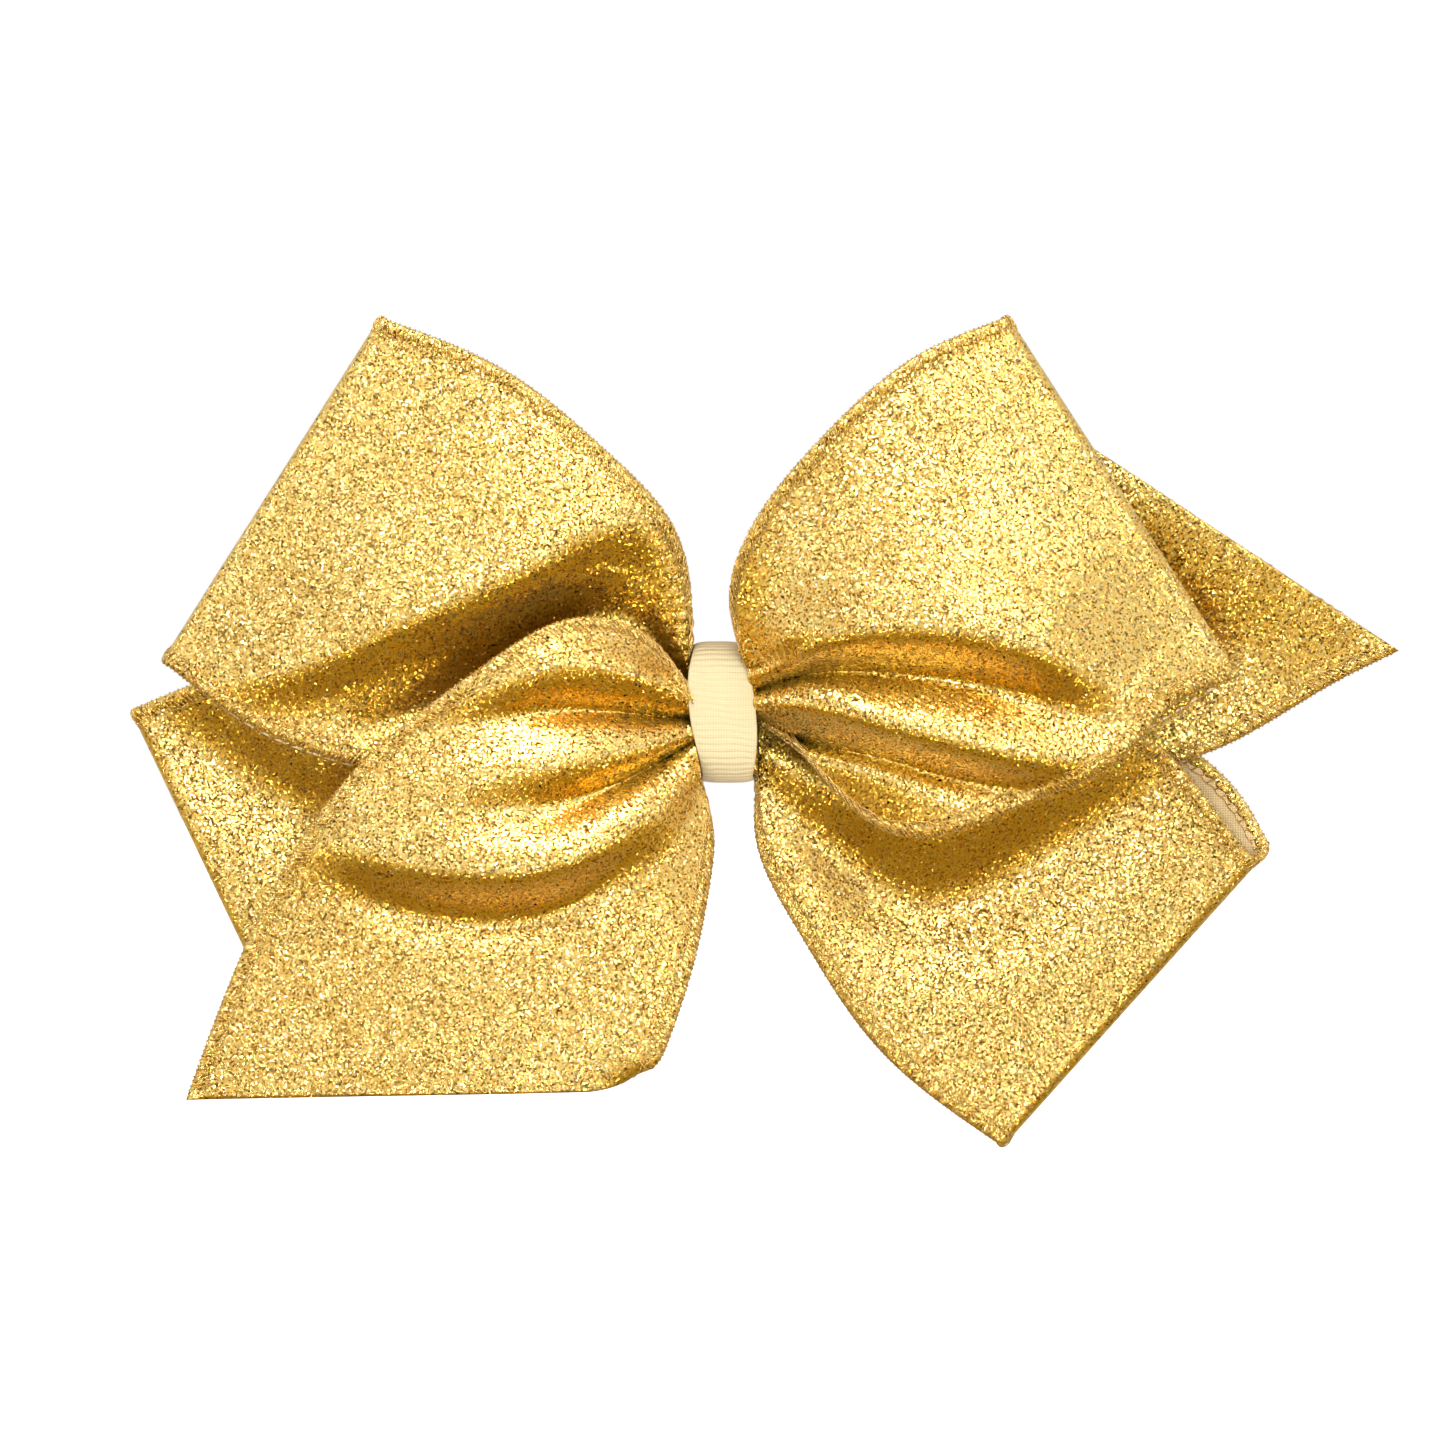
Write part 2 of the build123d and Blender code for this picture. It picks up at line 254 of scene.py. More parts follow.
GOLD = glitter("gold_lame", 3800, 0.34, 0.9)
HEM = glitter("gold_hem", 3300, 0.5, 0.88)
LINING = cloth("tan_lining", (0.50, 0.34, 0.14), (0.76, 0.57, 0.30), 900, 0.8, 0.1)
THREAD = cloth("gold_thread", (0.46, 0.25, 0.05), (0.95, 0.68, 0.24), 2400, 0.24, 0.0, 0.88)
GROSGRAIN = cloth("cream_grosgrain", (0.48, 0.38, 0.195), (0.64, 0.545, 0.315), 1400, 0.6, 0.3)
TWINE = cloth("cream_twine", (0.6, 0.5, 0.3), (0.85, 0.75, 0.5), 1200, 0.7, 0.1)
# Painted shade on the wrap where it turns up or down, away from the front.
paint_turned_shade(GROSGRAIN, (0.66, 0.54, 0.38))
GLUE, _, _ = new_material("hot_glue", (0.82, 0.76, 0.6), 0.35)
STEEL = steel()


# ------------------------------------------------------------- curves
def curve(points, count):
    """Natural cubic spline through points, by chord length, at even steps."""
    p = np.array(points, float)
    t = np.concatenate([[0], np.cumsum(np.linalg.norm(np.diff(p, axis=0), axis=1))])
    t /= t[-1]
    return spline_at(t, p, np.linspace(0, 1, count))


def spline_at(t, p, at):
    """Natural cubic spline with knots t and values p, read at the given places."""
    t, p, at = np.asarray(t, float), np.asarray(p, float), np.asarray(at, float)
    flat = p.ndim == 1
    if flat:
        p = p[:, None]
    n = len(t)
    h = np.diff(t)
    a = np.eye(n)
    b = np.zeros_like(p)
    for i in range(1, n - 1):
        a[i, i - 1:i + 2] = h[i - 1], 2 * (h[i - 1] + h[i]), h[i]
        b[i] = 6 * ((p[i + 1] - p[i]) / h[i] - (p[i] - p[i - 1]) / h[i - 1])
    m = np.linalg.solve(a, b)
    k = np.clip(np.searchsorted(t, at) - 1, 0, n - 2)
    shape = at.shape
    k, s = k.ravel(), at.ravel()
    d = h[k][:, None]
    w = (t[k + 1] - s)[:, None]
    x = (s - t[k])[:, None]
    out = (m[k] * w ** 3 + m[k + 1] * x ** 3) / (6 * d)
    out += (p[k] / d - m[k] * d / 6) * w + (p[k + 1] / d - m[k + 1] * d / 6) * x
    return out.reshape(shape) if flat else out.reshape(*shape, p.shape[1])


def smooth(x):
    """Ease from 0 to 1 as x does."""
    x = np.clip(x, 0, 1)
    return x * x * (3 - 2 * x)


NV = 120      # steps across the ribbon
NU = 170      # steps along one layer
RIDGE_STEPS = 60               # places along a ridge's line


def ridge(x, z, points):
    """Height of a soft ridge or furrow along a curve seen from the front.

    points are (x, z, height, width above, width below) in mm, from the knot outwards.
    """
    line = curve([p[:2] for p in points], RIDGE_STEPS)
    chord = np.concatenate([[0], np.cumsum([math.dist(a[:2], b[:2])
                                            for a, b in zip(points, points[1:])])])
    spots = np.linspace(0, 1, RIDGE_STEPS)
    values = np.array([p[2:] for p in points])
    high, above, below = (np.interp(spots, chord / chord[-1], values[:, k]) for k in range(3))
    gap = np.stack([x[..., None] - line[:, 0], z[..., None] - line[:, 1]], -1)
    size = np.linalg.norm(gap, axis=-1)
    up = smooth(0.5 + gap[..., 1] / 3)
    wide = above * up + below * (1 - up)
    near = np.exp(-(size / wide) ** 2)
    best = near.argmax(-1)
    take = np.take_along_axis(near, best[..., None], -1)[..., 0]
    return take * high[best]


def layer(upper, lower, across, profile, ridges=()):
    """One layer of ribbon from the knot outwards, as a grid of (x, depth, z) in mm."""
    v = np.linspace(0, 1, NV)
    top, bottom = curve(upper, NU), curve(lower, NU)
    plan = top[:, None] * (1 - v[None, :, None]) + bottom[:, None] * v[None, :, None]
    way = np.array(across, float) / np.hypot(*across)
    p = plan @ way
    t, q = np.array(profile, float).T
    depth = spline_at(t, q, np.clip(p, t[0], t[-1]))
    x, z = plan[..., 0], plan[..., 1]
    for points in ridges:
        depth += ridge(x, z, points)
    return np.stack([x, depth, z], -1)


def loop(front, back, radius, across):
    """Front and back layers joined round the fold into one grid."""
    way = np.array([across[0], 0, across[1]], float)
    way /= np.linalg.norm(way)
    a, b = front[-1], back[-1]
    turns = 17
    rows = []
    for i in range(1, turns):
        angle = math.pi * i / turns
        blend = (1 + math.cos(angle)) / 2
        rows.append(a * blend + b * (1 - blend) + way * radius * math.sin(angle))
    return np.concatenate([front, np.array(rows), back[::-1]])


def to_world(grid):
    """Grid of (x, depth in front of the knot's back, z) in mm, to metres in the frame."""
    out = np.empty_like(grid)
    out[..., 0] = grid[..., 0]
    out[..., 1] = CORE_BACK - grid[..., 1]
    out[..., 2] = grid[..., 2]
    return out * MM


def grid_normals(g):
    """Unit normal at each point of a grid, on the gold side."""
    du = np.gradient(g, axis=0)
    dv = np.gradient(g, axis=1)
    n = np.cross(dv, du)
    n /= np.maximum(np.linalg.norm(n, axis=-1, keepdims=True), 1e-12)
    return n


# ------------------------------------------------------------- meshes
def make_object(name, verts, faces, *materials, second=None):
    """Smooth mesh object; faces from number second on take the second material."""
    mesh = bpy.data.meshes.new(name)
    mesh.from_pydata([tuple(v) for v in verts], [], faces)
    mesh.validate()
    mesh.update()
    obj = bpy.data.objects.new(name, mesh)
    bpy.context.scene.collection.objects.link(obj)
    for material in materials:
        mesh.materials.append(material)
    if second is not None:
        which = np.zeros(len(mesh.polygons), int)
        which[second:] = 1
        mesh.polygons.foreach_set("material_index", which)
    mesh.shade_smooth()
    return obj


def ply(name, grid, normals, low, high, material):
    """Closed thin solid between two offsets of a grid."""
    nu, nv = grid.shape[:2]
    one = (grid + normals * high * MM).reshape(-1, 3)
    two = (grid + normals * low * MM).reshape(-1, 3)
    index = np.arange(nu * nv).reshape(nu, nv)
    a, b, c, d = index[:-1, :-1], index[1:, :-1], index[1:, 1:], index[:-1, 1:]
    top = np.stack([a, b, c, d], -1).reshape(-1, 4)
    bottom = top[:, ::-1] + nu * nv
    ring = np.concatenate([index[0, :], index[1:, -1], index[-1, -2::-1], index[-2:0:-1, 0]])
    after = np.roll(ring, -1)
    side = np.stack([ring, after, after + nu * nv, ring + nu * nv], -1)
    faces = np.concatenate([top, bottom, side]).tolist()
    return make_object(name, np.concatenate([one, two]), faces, material)


def capped_tubes(points):
    """Faces of tubes from their rings of points: points is (tube, ring, side, 3)."""
    count, length, sides = points.shape[:3]
    index = np.arange(count * length * sides).reshape(count, length, sides)
    following = np.roll(index, -1, axis=2)
    quads = np.stack([index[:, :-1], following[:, :-1], following[:, 1:], index[:, 1:]], -1)
    return quads.reshape(-1, 4).tolist() + index[:, 0, ::-1].tolist() + index[:, -1].tolist()


ASIDE = np.array([0.31, 0.87, 0.38])      # a direction no thread runs along


def tubes(paths, radius, sides):
    """Mesh data for many tubes of the same point count: paths is (tubes, points, 3)."""
    along = np.gradient(paths, axis=1)
    along /= np.maximum(np.linalg.norm(along, axis=-1, keepdims=True), 1e-12)
    side = np.cross(along, ASIDE)
    side /= np.maximum(np.linalg.norm(side, axis=-1, keepdims=True), 1e-12)
    up = np.cross(side, along)
    angles = (np.arange(sides) * 2 * math.pi / sides)[:, None, None, None]
    ring = np.cos(angles) * side + np.sin(angles) * up
    points = (paths[None] + ring * radius).transpose(1, 2, 0, 3)
    return points.reshape(-1, 3), capped_tubes(points)


class Edge:
    """A long edge of a lobe, read at any distance along it."""

    def __init__(self, grid, normals, column):
        inner = column + 2 if column >= 0 else column - 2
        self.edge, self.normal = grid[:, column], normals[:, column]
        inward = grid[:, inner] - self.edge
        self.inward = inward / np.linalg.norm(inward, axis=1, keepdims=True)
        step = np.linalg.norm(np.diff(self.edge, axis=0), axis=1)
        self.s = np.concatenate([[0], np.cumsum(step)])
        self.length = self.s[-1]

    def read(self, spots):
        """Place, normal and inward direction at distances along the edge."""
        return [np.stack([np.interp(spots, self.s, row[:, k]) for k in range(3)], -1)
                for row in (self.edge, self.normal, self.inward)]


STITCH = 2.5                # mm from one puff of the hem to the next
HEM_WIDE = 2.1
HEM_SIDES = 14
THREAD_PITCH = 0.6 * STITCH
THREAD_SIDES = 6
BORDER_IN = 2.28            # from the ribbon's edge to the thread that borders the hem
# A stitch's way over the hem, round the edge and back under it: mm in from the edge, mm above
# the ribbon's middle, mm along the edge. The second thread comes back over the top.
OVER_AND_UNDER = [(2.25, 0.40, -0.9), (1.7, 0.52, -0.55), (1.0, 0.60, -0.2), (0.3, 0.54, 0.0),
                  (-0.16, 0.32, 0.1), (-0.26, 0.0, 0.15), (-0.16, -0.32, 0.2), (0.3, -0.54, 0.3),
                  (1.0, -0.60, 0.5), (1.7, -0.52, 0.8), (2.25, -0.40, 1.1)]
BACK_OVER = [(2.3, 0.38, -0.25), (1.8, 0.58, 0.1), (1.1, 0.70, 0.4), (0.4, 0.62, 0.6),
             (-0.12, 0.36, 0.7), (-0.22, 0.10, 0.75), (-0.12, 0.34, 0.9), (0.3, 0.52, 1.0)]
OVER_RADIUS, BACK_RADIUS, BORDER_RADIUS = 0.12, 0.10, 0.10


def hem(edge, phase):
    """Rings of the ribbon's turned edge, puffed up between one stitch and the next."""
    step = 0.16
    count = max(8, int(edge.length / (step * MM)))
    spots = np.linspace(0, edge.length, count)
    place, normal, inward = edge.read(spots)
    s = spots / MM / STITCH + phase
    rng = np.random.default_rng(int(count * 7 + phase * 10))
    cell = np.floor(s).astype(int)
    uneven = rng.uniform(0.55, 1.0, cell.max() + 2)[cell]
    puff = np.abs(np.sin(math.pi * s)) ** 0.4 * uneven
    angles = np.arange(HEM_SIDES) * 2 * math.pi / HEM_SIDES
    wide = HEM_WIDE / 2 * (0.985 + 0.015 * puff)
    thick = 0.46 + 0.17 * puff
    out, up = np.cos(angles), np.sin(angles)
    # The puff leans outwards at one end of each cell and inwards at the other.
    slant = 0.16 * np.sin(2 * math.pi * s)
    across = (HEM_WIDE / 2 - 0.18) - out[None] * wide[:, None]
    lift = np.sign(up) * np.abs(up) ** 0.7 * (thick[:, None] + slant[:, None] * out)
    return place[:, None] + (inward[:, None] * across[..., None]
                             + normal[:, None] * lift[..., None]) * MM


def overlock(edge, phase, seed):
    """Mesh data of the threads over one hem, and of the two that border it."""
    first = -2 * phase % 1.0
    count = int(edge.length / (THREAD_PITCH * MM) - first)
    spots = (np.arange(count) + first) * THREAD_PITCH * MM
    spots = spots + np.random.default_rng(seed).normal(0, 0.08 * MM, count)
    threads = []
    for route, radius in ((OVER_AND_UNDER, OVER_RADIUS), (BACK_OVER, BACK_RADIUS)):
        paths = []
        for inwards, above, onwards in route:
            place, normal, inward = edge.read(np.clip(spots + onwards * MM, 0, edge.length))
            paths.append(place + (inward * inwards + normal * above) * MM)
        if count > 0:
            threads.append(tubes(np.stack(paths, 1), radius * MM, THREAD_SIDES))
    fine = np.linspace(0, edge.length, max(20, int(edge.length / (0.5 * MM))))
    place, normal, inward = edge.read(fine)
    sway = 0.12 * np.sin(2 * math.pi * fine / MM / STITCH)[:, None]
    for side in (1, -1):
        line = place + (inward * (BORDER_IN + sway) + normal * side * 0.46) * MM
        threads.append(tubes(line[None], BORDER_RADIUS * MM, 5))
    return threads


def edging(name, grid, normals):
    """Turned hems on both long edges, and the overlock thread that holds them."""
    verts, faces, threads = [], [], []

    def take(new_verts, new_faces):
        base = len(verts)
        verts.extend(new_verts.tolist())
        faces.extend([[i + base for i in face] for face in new_faces])

    for column, phase in ((0, 0.2), (-1, 0.6)):
        edge = Edge(grid, normals, column)
        rings = hem(edge, phase)
        take(rings.reshape(-1, 3), capped_tubes(rings[None]))
        threads += overlock(edge, phase, len(name) + column + 5)
    split = len(faces)
    for thread in threads:
        take(*thread)
    return make_object(name, verts, faces, HEM, THREAD, second=split)


FACE_PLY, LINING_PLY = (-0.04, 0.42), (-0.42, -0.06)      # mm in front of the ribbon's middle


def build_lobe(name, grid):
    """Face ply, lining ply and stitched edges of one lobe, and what they stand for."""
    world = to_world(grid)
    normals = grid_normals(world)
    face = ply("vis_" + name + "_face", world, normals, *FACE_PLY, GOLD)
    lining = ply("vis_" + name + "_lining", world, normals, *LINING_PLY, LINING)
    stitches = edging("vis_" + name + "_edging", world, normals)
    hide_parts(name + "_face")
    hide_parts(name + "_lining")
    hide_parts(name + "_edging")
    for piece in (face, lining, stitches):
        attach(piece, "bow")


# ------------------------------------------------------------- the six lobes
def flip(grid):
    """Reverse across the width, so that the gold side faces outwards."""
    return grid[:, ::-1]


PASS = 2.7      # thickness of one gathered pass of the ribbon in the knot
P = [PASS * (4.5 - i) for i in range(5)]      # depth of each pass, the front one first

# Each layer is drawn by its two long edges seen from the front, (x, z) in mm from the knot
# outwards; the direction across the picture in which it runs out; its depth in front of the
# knot's back at distances that way; and the ridges and furrows of its gathers.
# tr, tl, br and ml are the loops at the top right, top left, bottom right and middle left.
front_tail = layer(
    upper=[(-4.9, 3.0), (-11.5, 11.0), (-19.6, 13.3), (-32.9, 7.1), (-51.5, -7.7),
           (-63.3, -24.1), (-76.4, -55.1)],
    lower=[(-3.6, -10.2), (-1.7, -17.0), (-2.1, -23.3), (-4.4, -35.1), (-10.7, -53.3)],
    across=(-1, -0.35),
    profile=[(-2, P[0]), (5, 12.8), (12, 15.6), (22, 18.5), (35, 18.8), (50, 17.8),
             (65, 16.0), (92, 13.5)],
    ridges=[
        [(-5, 1.8, 0.9, 1.4, 1.4), (-13, 5.5, 2.4, 3, 2.6), (-24, 6.5, 2.0, 4, 3.4),
         (-38, -2, 0.5, 4, 4)],
        [(-5, -1.0, -2.0, 0.8, 0.8), (-12, -0.4, -3.0, 1.6, 1.5), (-22, 0.2, -2.6, 2.4, 2.0),
         (-34, -1.2, -1.2, 3, 2.5), (-44, -4, -0.2, 3, 3)],
        [(-5, -3.5, 0.8, 1.2, 1.2), (-20, -6.5, 2.4, 3, 3.5), (-34, -9.5, 2.2, 4, 4),
         (-50, -13, 0.8, 5, 5)],
        [(-5, -4.4, -1.8, 0.8, 0.8), (-13, -9.2, -2.6, 1.5, 1.5), (-26, -14.5, -0.9, 2.5, 2.5)],
        [(-5, -8.5, 1.4, 1.5, 2.0), (-11, -14.5, 4.0, 4, 4.0), (-22, -21.0, 5.2, 6, 3.8),
         (-36, -22.5, 4.8, 8, 3.8), (-50, -20, 2.6, 8, 4.2), (-60, -17, 0.5, 8, 6)],
        [(-10, -15.5, -0.3, 2, 2), (-17, -22.5, -1.2, 3, 2.5), (-24, -28, -1.8, 4, 2.8),
         (-33, -29.8, -1.8, 4.5, 2.8), (-46, -27.8, -1.3, 4, 3), (-55, -23.5, -0.3, 3, 3)],
    ],
)

# The tail's lower right corner curls back on itself.
CURL_FROM = 0.86      # share of the tail's length and width at which the curl starts
curl_along = np.maximum(0, (np.linspace(0, 1, NU) - CURL_FROM) / (1 - CURL_FROM)) ** 2
curl_across = np.maximum(0, (np.linspace(0, 1, NV) - CURL_FROM) / (1 - CURL_FROM)) ** 2
front_tail += (curl_along[:, None] * curl_across)[..., None] * np.array([-0.8, -2.2, 3.4])

tr_front = layer(
    upper=[(2.4, 9.2), (0.9, 15.5), (3.4, 25.0), (13.6, 38.2), (27.5, 50.0), (38.5, 54.8)],
    lower=[(4.9, -1.2), (9.7, -4.6), (14.6, -9.8), (23.7, -17.0), (43.2, -12.4),
           (54.8, -6.8), (61.6, 0.2), (66.5, 3.2), (71.0, 4.5)],
    across=(0.84, 0.543),
    profile=[(-2, P[0]), (4, 12.8), (8, 15.0), (14, 18.8), (22, 21.0), (35, 22.6), (50, 22.4),
             (62, 20.4)],
    ridges=[
        [(5, 6.5, 1.0, 2, 1.2), (11, 9.0, 3.2, 6, 2.2), (20, 11.2, 4.4, 10, 3.2),
         (31, 11.2, 4.6, 12, 3.8), (43, 8.6, 4.0, 12, 4.0), (55, 2.5, 1.4, 9, 5)],
        [(5, 3.2, -2.0, 0.8, 0.8), (12, 5.4, -2.8, 1.5, 1.3), (22, 5.6, -2.8, 2.2, 2.2),
         (36, 3.8, -2.2, 3, 3), (50, -1.0, -0.6, 4, 4)],
        [(5, 1.2, 1.2, 1.0, 1.0), (12, 0.8, 2.8, 2.6, 2.0), (20, -1.0, 3.8, 3.4, 2.6),
         (34, -4.6, 4.0, 4.6, 3.0), (48, -6.6, 2.0, 5, 3.4), (60, -4.0, 0.5, 5, 4)],
        [(5, -0.9, -1.8, 0.7, 0.7), (12, -4.2, -2.8, 1.3, 1.2), (20, -5.8, -2.8, 1.9, 1.7),
         (33, -9.4, -2.2, 2.2, 2.0), (46, -10.9, -0.6, 3, 2.5)],
        [(4, 6.5, -1.6, 0.8, 0.8), (8, 7.6, -1.4, 0.9, 0.9), (12, 10, -0.3, 1.4, 1.4)],
    ],
)
tr_back = layer(
    upper=[(3.2, 9.9), (1.6, 15.5), (4.4, 25.0), (14.2, 38.0), (28.0, 49.4), (38.5, 54.8)],
    lower=[(4.9, -1.6), (9.7, -4.9), (15.0, -9.8), (24.0, -16.0), (43.2, -11.8),
           (58.9, -3.2), (71.0, 4.5)],
    across=(0.84, 0.543),
    profile=[(-2, P[1]), (4, 9.6), (10, 10.4), (20, 11.6), (35, 12.6), (50, 14.6), (62, 17.6)],
    ridges=[
        [(4, 7, -0.8, 1.5, 1.5), (12, 17, -1.3, 3, 3), (24, 29, -0.3, 5, 5)],
        [(4, 4, 0.6, 1.2, 1.2), (14, 11, 1.0, 3, 3), (28, 20, 0.3, 5, 5)],
    ],
)
tl_front = layer(
    upper=[(-4.9, 9.0), (-4.9, 16.0), (-7.2, 25.8), (-15.8, 35.9), (-31.4, 48.4), (-47.7, 55.4)],
    lower=[(-4.9, -8.2), (-20.0, -10.0), (-36.0, -11.0), (-51.1, -7.7), (-67.6, -1.4),
           (-78.7, 6.5)],
    across=(-0.845, 0.535),
    profile=[(-6, P[1]), (5, 9.7), (15, 11.0), (30, 13.4), (50, 15.0), (70, 13.9)],
    ridges=[
        [(-5.5, 8, 0.8, 2, 1.5), (-13, 26.5, 3.0, 7, 5), (-28, 20.5, 4.8, 13, 5),
         (-46, 12.5, 4.6, 14, 4.6), (-64, 5.5, 2.4, 12, 4), (-74, 5, 0.4, 9, 5)],
        [(-5.5, 3, -1.0, 1.5, 1.5), (-16, 14, -1.8, 4, 4), (-32, 6, -2.0, 4.5, 3.5),
         (-50, -2, -1.0, 3, 3)],
    ],
)
tl_back = layer(
    upper=[(-4.9, 9.0), (-5.2, 16.0), (-8.0, 25.5), (-16.6, 35.5), (-32.0, 47.8), (-47.7, 55.4)],
    lower=[(-4.9, -8.4), (-20.0, -10.5), (-36.0, -11.4), (-51.1, -8.4), (-67.0, -2.6),
           (-78.7, 6.5)],
    across=(-0.845, 0.535),
    profile=[(-6, P[2]), (5, 6.9), (15, 7.4), (30, 8.1), (50, 8.8), (70, 11.2)],
    ridges=[
        [(-5.5, 7, -0.8, 1.8, 1.8), (-13, 18, -1.4, 3, 3), (-26, 29, -0.3, 5, 5)],
        [(-5.5, 4, 0.8, 1.4, 1.4), (-16, 11, 1.1, 3, 3), (-32, 20, 0.3, 5, 5)],
        [(-5.5, 1, -0.6, 1.2, 1.2), (-20, 5, -0.9, 2.6, 2.6), (-40, 10, -0.2, 5, 5)],
    ],
)
br_front = layer(
    upper=[(4.9, 7.0), (25.0, 5.0), (50.0, 1.5), (60.4, -3.3), (66.6, -9.1), (71.3, -15.2),
           (75.5, -20.6)],
    lower=[(4.9, -9.0), (4.4, -17.0), (10.5, -31.1), (22.2, -48.3), (39.1, -61.8)],
    across=(0.74, -0.673),
    profile=[(-4, P[2]), (5, 6.9), (15, 7.4), (30, 7.6), (45, 7.0), (70, 5.6)],
    ridges=[
        [(5, -6, 0.8, 2, 2.5), (13, -11, 1.5, 4, 5), (22, -14.5, 1.9, 6, 6), (32, -15.5, 1.9, 6, 6),
         (44, -11, 1.9, 6, 6), (58, -4, 1.0, 5, 5)],
        [(5, -8, -0.3, 1.5, 1.5), (11.9, -15, -1.8, 4, 4), (18, -20.5, -3.1, 6, 6),
         (24, -26, -3.6, 7, 7), (30.5, -28, -3.7, 7.5, 8), (38, -25.2, -3.5, 7.5, 8),
         (47.6, -19.4, -2.8, 7, 7), (57, -13.5, -1.6, 5, 5), (63, -8, -0.4, 4, 4)],
    ],
)
br_back = layer(
    upper=[(4.9, 7.5), (25.0, 6.5), (50.0, 1.5), (68.7, -6.2), (74.6, -12.0), (78.4, -18.6)],
    lower=[(4.9, -8.6), (5.2, -17.0), (11.2, -31.1), (22.8, -47.8), (39.1, -61.8)],
    across=(0.74, -0.673),
    profile=[(-4, P[4]), (5, 1.35), (20, 1.3), (45, 1.0), (60, 1.4), (70, 3.0)],
    ridges=[
        [(5, 2, 0.9, 1.5, 1.5), (18, -1, 1.5, 3, 3), (36, -6, 0.4, 5, 5)],
        [(5, -2, -0.3, 1.2, 1.2), (16, -8, -0.5, 2.5, 2.5), (30, -16, -0.1, 4, 4)],
        [(5, -5, 0.9, 1.5, 1.5), (12, -13, 1.3, 2.6, 2.6), (22, -26, 0.3, 4, 4)],
    ],
)
rear_tail = layer(
    upper=[(4.9, 8.2), (12.0, 14.0), (25.0, 28.0), (41.9, 45.0)],
    lower=[(4.9, -8.2), (25.0, -10.5), (50.0, -9.0), (68.9, -6.0), (87.8, 4.4), (96.8, 8.9)],
    across=(1, 0),
    profile=[(-2, P[3]), (10, 4.0), (30, 3.9), (50, 4.2), (70, 5.0), (99, 6.5)],
    ridges=[
        [(5, 4, 0.8, 2, 2), (30, 26, 3.0, 8, 12), (60, 33, 4.2, 10, 16), (78, 24, 3.4, 9, 14),
         (92, 12, 1.0, 6, 8)],
        [(5, -2, -0.8, 2, 2), (30, 0, -1.0, 5, 5), (62, 8, -1.4, 7, 5), (80, 12, 0, 7, 6)],
    ],
)
ml_front = layer(
    upper=[(-4.9, 8.0), (-35.0, 10.0), (-60.0, 7.5), (-77.0, 3.7), (-84.6, 0.7)],
    lower=[(-4.9, -8.4), (-14.0, -19.0), (-34.0, -36.0), (-59.8, -51.3)],
    across=(-0.903, -0.43),
    profile=[(-3, P[3]), (5, 4.05), (20, 4.7), (40, 5.6), (60, 5.6), (76, 4.2)],
    ridges=[
        [(-30, 0, 0.6, 6, 6), (-57, -5, 1.5, 6, 6), (-66, -1, 1.5, 6, 6), (-76, 4.5, 1.0, 5, 5)],
        [(-30, -28, -1.0, 7, 6), (-42, -24, -2.2, 7, 7), (-55, -18, -2.6, 7, 8),
         (-62.9, -13.5, -2.7, 7, 8), (-68.2, -10, -2.6, 7, 7), (-74.4, -4.8, -2.1, 6, 6),
         (-80, 0, -1.0, 5, 5)],
    ],
)
ml_back = layer(
    upper=[(-4.9, 8.0), (-35.0, 9.6), (-60.0, 7.0), (-77.0, 3.3), (-84.6, 0.7)],
    lower=[(-4.9, -8.4), (-14.0, -19.0), (-34.0, -36.0), (-59.8, -51.3)],
    across=(-0.903, -0.43),
    profile=[(-3, P[4]), (5, 1.38), (20, 1.5), (45, 1.3), (60, 0.8), (76, 1.7)],
    ridges=[
        [(-5, 4, 0.9, 1.5, 1.5), (-20, 5, 1.4, 3, 3), (-40, 4, 0.4, 5, 5)],
        [(-5, 0, -0.3, 1.2, 1.2), (-20, -3, -0.5, 2.5, 2.5), (-38, -8, -0.1, 4, 4)],
        [(-5, -5, 0.9, 1.5, 1.5), (-17, -13, 1.3, 2.8, 2.8), (-32, -25, 0.3, 5, 5)],
    ],
)

WIDE = 0.0572      # the ribbon's stock width, in metres
for lobe, grid, length, area in (
        ("front_tail", flip(front_tail), 0.092, 0.070 * WIDE),
        ("right_upper_loop", loop(tr_front, tr_back, 1.3, (0.84, 0.543)), 0.135, None),
        ("left_upper_loop", flip(loop(tl_front, tl_back, 1.2, (-0.845, 0.535))), 0.145, None),
        ("right_lower_loop", loop(br_front, br_back, 1.1, (0.74, -0.673)), 0.146, None),
        ("rear_tail", rear_tail, 0.098, 0.074 * WIDE),
        ("left_lower_loop", flip(loop(ml_front, ml_back, 1.1, (-0.903, -0.43))), 0.155, None)):
    build_lobe(lobe, grid)


# ------------------------------------------------------------- knot wrap
def ring_outline(count, inset):
    """Side outline (depth, height) of the wrapped knot, from the middle of its front."""
    low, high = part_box("knot_wrap")
    front, back, half = low[1] / MM, high[1] / MM, high[2] / MM
    corners = [(front, 0), (front + 0.25, half * 0.45), (front + 1.7, half * 0.84),
               (front + 4.6, half + 0.1), (front + 9, half - 0.1), (back - 3.4, half * 0.86),
               (back - 0.5, half * 0.60), (back, half * 0.3)]
    outline = corners + [(back, 0)] + [(y, -z) for y, z in corners[:0:-1]]
    path = curve(outline + outline[:1], count + 1)[:-1]
    along = np.roll(path, -1, 0) - np.roll(path, 1, 0)
    along /= np.linalg.norm(along, axis=1, keepdims=True)
    out = np.stack([along[:, 1], -along[:, 0]], -1)
    if out[0, 0] > 0:
        out = -out
    return path - out * inset, out


WRAP_HALF = 4.75         # half the grosgrain's width, mm


